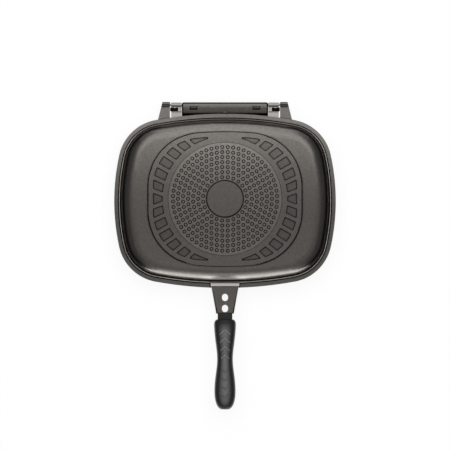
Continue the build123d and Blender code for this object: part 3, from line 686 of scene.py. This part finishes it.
def guard_finish(coat):
    """The castings' coat on the hinge guard, with painted shade in its two recesses, on its steep edges and
    at its ends, and a painted highlight on its pad."""
    material = coat.copy()
    material.name = "guard_coat"
    tree = material.node_tree
    shader = next(item for item in tree.nodes if item.type == "BSDF_PRINCIPLED")
    x, along, _height = point_axes(tree)
    out = math_node(tree, "ABSOLUTE", x)

    # Painted shade inside the two recesses, darkest near their sides and front
    side = math_node(tree, "SUBTRACT", NOTCH_W / 2.0, apart(tree, out, NOTCH_X))
    front = math_node(tree, "SUBTRACT", along, NOTCH_Y - NOTCH_L / 2.0)
    back = math_node(tree, "SUBTRACT", NOTCH_Y + NOTCH_L / 2.0, along)
    within = above(tree, chain(tree, "MINIMUM", side, front, back), 0.0)
    near = math_node(tree, "MINIMUM", side, math_node(tree, "MULTIPLY", front, 0.5))
    fade = 2.0 * MM
    recess = both(tree, rest_of(tree, math_node(tree, "DIVIDE", near, fade, clamp=True)), within)

    # Painted shade on the guard's steep faces and at its two ends
    upward = math_node(tree, "ABSOLUTE", point_axes(tree, "Normal")[2])
    steep = fall(tree, upward, 0.93, run=0.125)
    ends = rise(tree, out, GUARD_HALF - GUARD_END, run=0.6 * MM)
    colour = shader.inputs["Base Color"].links[0].from_socket
    colour = shaded(tree, colour, either(tree, recess, steep, ends), 0.04)
    # Painted highlight on the small pad at the middle
    pad = both(tree, below(tree, out, PAD_HALF_W), below(tree, apart(tree, along, PAD_Y), PAD_HALF_L))
    tree.links.new(shaded(tree, colour, pad, 2.6), shader.inputs["Base Color"])
    return material


def use_grain(tree, size, strength, stretch=(1.0, 1.0, 1.0)):
    """Places the fine grain."""
    group = shared_group("fine_grain", grain_group)
    return use_group(tree, group, Size=size, Strength=strength, Stretch=stretch)


def grained(tree, shader, colour, grain, depth):
    """Gives a shader a colour that varies with a placed grain, and the grain's relief."""
    tree.links.new(toned(tree, colour, grain.outputs["Tone"]), shader.inputs["Base Color"])
    relief(tree, shader, grain.outputs["Relief"], strength=0.5, depth=depth)


def steel_finish(settings):
    """Stainless steel, brushed along the hinge."""
    material, tree, shader = new_material("bare_steel")
    brushed = use_grain(tree, size=1.2 * MM, strength=0.35, stretch=(0.08, 1.0, 1.0))
    grained(tree, shader, settings.colour, brushed, depth=0.01 * MM)
    shader.inputs["Metallic"].default_value = 1.0
    shader.inputs["Roughness"].default_value = settings.roughness
    return material


def rubber_finish(settings):
    """Matte black rubber, near black, which on the slot plugs serves as painted shade."""
    material, tree, shader = new_material("black_rubber")
    grain = use_grain(tree, size=0.8 * MM, strength=0.5)
    grained(tree, shader, settings.rubber, grain, depth=0.03 * MM)
    shader.inputs["Roughness"].default_value = 0.7
    shader.inputs["Specular IOR Level"].default_value = 0.2
    return material


def gasket_finish(settings):
    """Grey silicone with a dusty bloom."""
    material, tree, shader = new_material("gasket_silicone")
    bloom = use_grain(tree, size=3.0 * MM, strength=0.3)
    grained(tree, shader, settings.silicone, bloom, depth=0.02 * MM)
    shader.inputs["Roughness"].default_value = 0.55
    return material


def grip_finish(name, settings, crown, sharpness):
    """Dark moulded plastic with a fine grain and a painted highlight along its crown, which a sharpness
    narrows.
    """
    material, tree, shader = new_material(name)
    spot = Spot(tree)
    # Painted highlight: where the normal points up the colour lightens towards the crown colour, fading at
    # the grip's front end
    share = rise(tree, spot.level, settings.start, 1.0 - settings.start)
    share = math_node(tree, "POWER", share, sharpness)
    fade = fall(tree, spot.along, -GRIP_FADE, run=12.0 * MM)
    share = both(tree, share, rest_of(tree, spot.inwards), fade)
    colour = mix_colour(tree, share, rgba(settings.colour), rgba(crown))
    grained(tree, shader, colour, use_grain(tree, size=0.7 * MM, strength=0.25), depth=0.03 * MM)
    shader.inputs["Roughness"].default_value = settings.roughness
    return material


def grey(level):
    """Grey of a level, with full alpha."""
    return (level, level, level, 1.0)


def floor_finish():
    """White floor that keeps a soft shadow and shows white to the camera and in reflections."""
    material, tree = bare_material("stage_floor")
    path = node(tree, "ShaderNodeLightPath")
    seen = either(tree, path.outputs["Is Camera Ray"], path.outputs["Is Glossy Ray"],
                  path.outputs["Is Transmission Ray"])
    plain = node(tree, "ShaderNodeBsdfDiffuse", Color=grey(0.4))
    shade = node(tree, "ShaderNodeBsdfDiffuse", Color=grey(0.12))
    glow = node(tree, "ShaderNodeEmission", Color=grey(1.0), Strength=0.9)
    lit = node(tree, "ShaderNodeAddShader")
    tree.links.new(shade.outputs[0], lit.inputs[0])
    tree.links.new(glow.outputs[0], lit.inputs[1])
    blend = node(tree, "ShaderNodeMixShader")
    tree.links.new(seen, blend.inputs[0])
    tree.links.new(plain.outputs[0], blend.inputs[1])
    tree.links.new(lit.outputs[0], blend.inputs[2])
    put_out(tree, blend)
    return material


# ---- Pieces ----
RAY_START = 200.0 * MM      # rays that look for a surface start this far from the plane between the halves


def hole_centres(pattern, plate_radius):
    """Centres of the induction plate's holes: ring k carries six times k of them."""
    inner = (pattern.bore + pattern.hole) / 2.0 + pattern.bore_web
    outer = plate_radius - pattern.hole / 2.0 - pattern.edge_web
    pitch = (outer - inner) / max(pattern.last_ring - pattern.first_ring, 1)
    for ring in range(pattern.first_ring, pattern.last_ring + 1):
        radius = inner + (ring - pattern.first_ring) * pitch
        count = 6 * ring
        for index in range(count):
            angle = math.pi / 2.0 + (index + 0.5) * 2.0 * math.pi / count
            yield radius * math.cos(angle), radius * math.sin(angle)


def boss_field(name, pattern, plate, outward):
    """Cast bosses in the holes of one induction plate; outward is the side its face looks to."""
    low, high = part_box(plate)
    inner = low.z if outward > 0 else high.z
    face = high.z - low.z
    crown = face - pattern.sink
    edge = pattern.hole / 2.0
    rim = edge - 0.02 * MM
    moat = edge - 1.0 * MM          # inner side of the moat round the boss
    trough = face - 0.55 * MM       # height of the moat's floor
    root = 0.1 * MM
    bend = 0.05 * MM                # short runs at the bends keep the smooth shading crisp
    profile = [(rim, -root), (rim, trough), (moat, trough), (moat - bend, trough),
               (moat - 3.0 * bend, crown - bend), (moat - 4.0 * bend, crown), (moat - 5.2 * bend, crown),
               (edge * 0.2, crown)]
    sides = 16
    mesh = bmesh.new()
    for x, y in hole_centres(pattern, high.x):
        turned_form(mesh, (x, y, inner), outward, profile, sides)
    return smooth(add_piece(name, mesh))


def raised_mark(mesh, surface, outward, marks, point, fall, reach):
    """Adds the skin of one raised mark of a grip: its slopes meet the grip beside the mark."""
    width = marks.width
    direction = -1.0 if fall < 0 else 1.0
    slope_run = 0.7 * MM
    edge_inset = 0.1 * MM
    sunk = 0.12 * MM
    root = 4.0 * sunk
    proud = 0.04 * MM
    rails = [(-slope_run, -sunk), (edge_inset, proud), (width - edge_inset, proud),
             (width + slope_run, -sunk), (width + slope_run, -root), (-slope_run, -root)]
    steps = 9
    columns = []
    for step in range(-steps, steps + 1):
        x = reach * step / steps
        at_end = abs(step) == steps
        x += math.copysign(slope_run, x) if at_end else 0.0
        column = []
        for offset, lift in rails:
            y = point + fall * abs(x) + direction * offset
            height = surface(x, y)
            lift = min(lift, -sunk) if at_end else lift
            column.append(mesh.verts.new((x, y, height + outward * lift)))
        columns.append(column)
    for left, right in zip(columns, columns[1:]):
        for index in range(len(rails)):
            after = (index + 1) % len(rails)
            mesh.faces.new((left[index], right[index], right[after], left[after]))
    mesh.faces.new(columns[0])
    mesh.faces.new(columns[-1][::-1])


def grip_marks(name, marks, grip, outward, side):
    """Sloped skins over the raised chevrons of one grip, on one side of its middle bar."""
    tree = BVHTree.FromObject(frame["nodes"][grip], bpy.context.evaluated_depsgraph_get())
    start = PART_PLANE + outward * RAY_START

    def surface(x, y):
        hit = tree.ray_cast(Vector((x, y, start)), Vector((0.0, 0.0, -outward)))[0]
        return hit.z

    mesh = bmesh.new()
    for index in range(marks.count):
        offset = marks.first + index * marks.pitch
        reach = marks.inner + (marks.outer - marks.inner) * index / max(marks.count - 1, 1)
        raised_mark(mesh, surface, outward, marks, -marks.middle + side * offset, -side * marks.fall, reach)
    bmesh.ops.recalc_face_normals(mesh, faces=mesh.faces)
    return add_piece(name, mesh)


def slot_shade_plugs(name):
    """Black plugs in the two slots of the hinge guard, painted shade that fills the dark hollow under them.
    """
    tree = BVHTree.FromObject(frame["nodes"]["hinge_guard"], bpy.context.evaluated_depsgraph_get())
    overlap = 0.02 * MM
    half = NOTCH_W / 2.0 + overlap
    slot_front = NOTCH_Y - NOTCH_L / 2.0
    front = slot_front - overlap
    back = slot_front + SLOT_L + overlap
    probe_y = back + 0.8 * MM       # where the recess's floor is measured, behind the slot
    sunk = 0.4 * MM
    thick = 0.7 * MM
    mesh = bmesh.new()
    for side in (-1.0, 1.0):
        over = Vector((side * NOTCH_X, probe_y, PART_PLANE + RAY_START))
        top = tree.ray_cast(over, Vector((0.0, 0.0, -1.0)))[0].z - sunk
        outline = []
        for x, y in ((-half, front), (half, front), (half, back), (-half, back)):
            outline.append(mesh.verts.new((side * NOTCH_X + x, y, top)))
        lid = mesh.faces.new(outline)
        grown = bmesh.ops.extrude_face_region(mesh, geom=[lid])["geom"]
        low = [item for item in grown if isinstance(item, bmesh.types.BMVert)]
        bmesh.ops.translate(mesh, verts=low, vec=(0.0, 0.0, -thick))
    bmesh.ops.bevel(mesh, geom=mesh.edges[:], offset=0.1 * MM, segments=2, affect="EDGES")
    bmesh.ops.recalc_face_normals(mesh, faces=mesh.faces)
    return add_piece(name, mesh)


# ---- Stage ----
def card(name, corners, material):
    """Flat card of the stage from its four corners."""
    mesh = bmesh.new()
    mesh.faces.new([mesh.verts.new(corner) for corner in corners])
    piece = add_piece(name, mesh)
    piece.data.materials.append(material)
    return piece


def only_reflected(piece):
    """Leaves a card of the stage visible in reflections alone."""
    piece.visible_camera = False
    piece.visible_diffuse = False
    piece.visible_shadow = False
    piece.visible_transmission = False


def glow_finish(name, level):
    """Plain card that gives off an even level of light, zero for a black one."""
    material, tree = bare_material(name)
    put_out(tree, node(tree, "ShaderNodeEmission", Color=grey(1.0), Strength=level))
    return material


def soft_lamp(name, place, aim, size, level):
    """Area lamp with an even level of light over its face."""
    data = bpy.data.lights.new(name, "AREA")
    data.shape = "RECTANGLE"
    data.size = size[0]
    data.size_y = size[1]
    data.energy = level * math.pi * size[0] * size[1]
    lamp = bpy.data.objects.new(name, data)
    lamp.location = place
    lamp.rotation_euler = (Vector(aim) - Vector(place)).to_track_quat("-Z", "Y").to_euler()
    lamp.visible_camera = False
    bpy.context.scene.collection.objects.link(lamp)
    return lamp


def level_card(name, x, y, height, level):
    """Level card between two x and two y, which only reflections show."""
    corners = [(x[0], y[0], height), (x[1], y[0], height), (x[1], y[1], height), (x[0], y[1], height)]
    only_reflected(card(name, corners, glow_finish(name, level)))


def upright_card(name, start, end, z, level):
    """Upright card over the line from start to end, between two heights, which only reflections show."""
    corners = [(*start, z[0]), (*end, z[0]), (*end, z[1]), (*start, z[1])]
    only_reflected(card(name, corners, glow_finish(name, level)))


def reflected_cards():
    """Dark table and sides, pale back and roof, and a bright front that fades upwards."""
    side, side_back, side_top = 0.42, 0.45, 0.30
    front, back, roof = -0.56, 0.62, 0.42
    left, right = -0.15, 0.16
    low_top, middle_top = 0.10, 0.22
    over_floor = 0.0005
    level_card("dark_table", (-0.9, 0.9), (-0.9, 0.9), over_floor, level=0.0)
    level_card("front_table", (left, right), (front, -0.14), 2.0 * over_floor, level=1.6)
    for name, x in (("left_side", -side), ("right_side", side)):
        upright_card(name, (x, front), (x, side_back), (0.0, side_top), level=0.08)
    upright_card("back_wall", (-0.21, back), (0.24, back), (0.06, roof), level=0.7)
    level_card("back_roof", (-0.34, 0.34), (0.10, back), roof, level=0.75)
    level_card("front_roof", (-0.22, 0.22), (front, -0.04), roof + 0.1, level=0.28)
    for name, inset, z, level in (("front_low", 0.0, (2.0 * over_floor, low_top), 0.85),
                                  ("front_middle", 0.03, (low_top, middle_top), 0.5),
                                  ("front_high", 0.05, (middle_top, roof), 0.16)):
        upright_card(name, (left + inset, front), (right - inset, front), z, level)


# ---- Operators ----
class PAN_OT_coat_castings(bpy.types.Operator):
    """Coats both castings, the induction plates and the hinge guard."""

    bl_idname = "flip_pan.coat_castings"
    bl_label = "Coat the castings"

    def execute(self, context):
        coat = coat_finish(context.scene.flip_pan_coat)
        wear(["lower_pan", "upper_pan", "lower_induction_plate", "upper_induction_plate"], coat)
        wear(["hinge_guard"], guard_finish(coat))
        return {"FINISHED"}


class PAN_OT_fill_holes(bpy.types.Operator):
    """Adds the cast bosses that fill the holes of both induction plates."""

    bl_idname = "flip_pan.fill_holes"
    bl_label = "Fill the holes"

    def execute(self, context):
        pattern = context.scene.flip_pan_pattern
        for body, outward in (("lower", -1), ("upper", 1)):
            bosses = boss_field(f"{body}_hole_bosses", pattern, f"{body}_induction_plate", outward)
            bosses.data.materials.append(frame["nodes"][f"{body}_pan"].data.materials[0])
            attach(bosses, body)
        return {"FINISHED"}


class PAN_OT_finish_hinge(bpy.types.Operator):
    """Finishes the steel, rubber and silicone pieces and adds black plugs in the guard's slots as painted
    shade.
    """

    bl_idname = "flip_pan.finish_hinge"
    bl_label = "Finish the hinge"

    def execute(self, context):
        steel = steel_finish(context.scene.flip_pan_steel)
        wear(["hinge_leaf_left", "hinge_leaf_right", "hinge_rod", "leaf_screws", "guard_rivets",
              "lower_handle_screw", "upper_handle_screw", "lower_magnet", "upper_magnet"], steel)
        rubber = rubber_finish(context.scene.flip_pan_seals)
        wear(["hinge_buffer_left", "hinge_buffer_right"], rubber)
        wear(["gasket"], gasket_finish(context.scene.flip_pan_seals))
        # Black plugs as painted shade in the guard's slots
        plugs = slot_shade_plugs("guard_slot_shade")
        plugs.data.materials.append(rubber)
        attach(plugs, "lower")
        return {"FINISHED"}


class PAN_OT_finish_handles(bpy.types.Operator):
    """Finishes the grips and collars, and adds the skins over the grips' raised marks."""

    bl_idname = "flip_pan.finish_handles"
    bl_label = "Finish the handles"

    def execute(self, context):
        settings = context.scene.flip_pan_grip
        # Painted highlights: lighter on the near marks' tops than on the far marks, and along the grips' and
        # collars' crowns
        plastic = grip_finish("grip_plastic", settings, settings.crown, sharpness=2.5)
        rubbed = grip_finish("grip_mark_highlight", settings, settings.mark, sharpness=0.45)
        faint = grip_finish("grip_mark_faint", settings, settings.crown, sharpness=0.6)
        wear(["lower_grip", "upper_grip"], plastic)
        collar = grip_finish("collar_plastic", settings, settings.collar, sharpness=1.0)
        wear(["lower_collar", "upper_collar"], collar)
        shape = context.scene.flip_pan_marks
        for body, outward in (("lower", -1), ("upper", 1)):
            for side, end, finish in ((1.0, "near", rubbed), (-1.0, "far", faint)):
                marks = grip_marks(f"{body}_grip_marks_{end}", shape, f"{body}_grip", outward, side)
                marks.data.materials.append(finish)
                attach(marks, body)
        return {"FINISHED"}


class PAN_OT_set_stage(bpy.types.Operator):
    """Sets the camera, the floor, the lamps and the reflected cards."""

    bl_idname = "flip_pan.set_stage"
    bl_label = "Set the stage"

    def execute(self, context):
        scene = context.scene
        stage = scene.flip_pan_stage
        scene.view_settings.view_transform = "Standard"

        lens = bpy.data.cameras.new("view")
        lens.sensor_width = 36.0
        lens.lens = lens.sensor_width * stage.distance / stage.view_width
        lens.clip_end = 100.0
        camera = bpy.data.objects.new("view", lens)
        aim = Vector((0.0, stage.aim_y, PART_PLANE))
        camera.location = aim + stage.distance * Vector((0.0, -math.sin(stage.tilt), math.cos(stage.tilt)))
        camera.rotation_euler = (stage.tilt, 0.0, 0.0)
        scene.collection.objects.link(camera)
        scene.camera = camera

        reach = 6.0
        corners = [(-reach, -reach, 0.0), (reach, -reach, 0.0), (reach, reach, 0.0), (-reach, reach, 0.0)]
        card("stage_floor", corners, floor_finish())

        world = bpy.data.worlds.new("stage_air")
        world.use_nodes = True
        backdrop = world.node_tree.nodes["Background"]
        backdrop.inputs["Color"].default_value = grey(0.18)
        backdrop.inputs["Strength"].default_value = 1.0
        scene.world = world

        fill = soft_lamp("fill", place=(0.0, 0.3, 2.0), aim=(0.0, 0.0, 0.0), size=(2.2, 2.2), level=2.6)
        fill.visible_glossy = False
        reflected_cards()
        return {"FINISHED"}


STEPS = (PAN_OT_coat_castings, PAN_OT_fill_holes, PAN_OT_finish_hinge, PAN_OT_finish_handles,
         PAN_OT_set_stage)


class VIEW3D_PT_flip_pan(bpy.types.Panel):
    """Lists the steps and their settings."""

    bl_idname = "VIEW3D_PT_flip_pan"
    bl_label = "Flip Pan"
    bl_space_type = "VIEW_3D"
    bl_region_type = "UI"
    bl_category = "Flip Pan"

    def draw(self, context):
        for step in STEPS:
            self.layout.operator(step.bl_idname)
        for label, kind in SETTINGS.items():
            box = self.layout.box()
            for key in kind.__annotations__:
                box.prop(getattr(context.scene, label), key)


SETTINGS = {
    "flip_pan_coat": CoatSettings,
    "flip_pan_pattern": PatternSettings,
    "flip_pan_steel": SteelSettings,
    "flip_pan_seals": SealSettings,
    "flip_pan_grip": GripSettings,
    "flip_pan_marks": ChevronSettings,
    "flip_pan_stage": StageSettings,
}


def register():
    """Registers the settings, the operators and the panel."""
    for label, kind in SETTINGS.items():
        bpy.utils.register_class(kind)
        setattr(bpy.types.Scene, label, PointerProperty(type=kind))
    for kind in STEPS + (VIEW3D_PT_flip_pan,):
        bpy.utils.register_class(kind)


def unregister():
    """Takes out what register put in."""
    for kind in reversed(STEPS + (VIEW3D_PT_flip_pan,)):
        bpy.utils.unregister_class(kind)
    for label, kind in SETTINGS.items():
        delattr(bpy.types.Scene, label)
        bpy.utils.unregister_class(kind)


def main():
    """Registers everything and runs every step in order."""
    register()
    for step in STEPS:
        group, name = step.bl_idname.split(".")
        getattr(getattr(bpy.ops, group), name)()


if __name__ == "__main__":
    main()
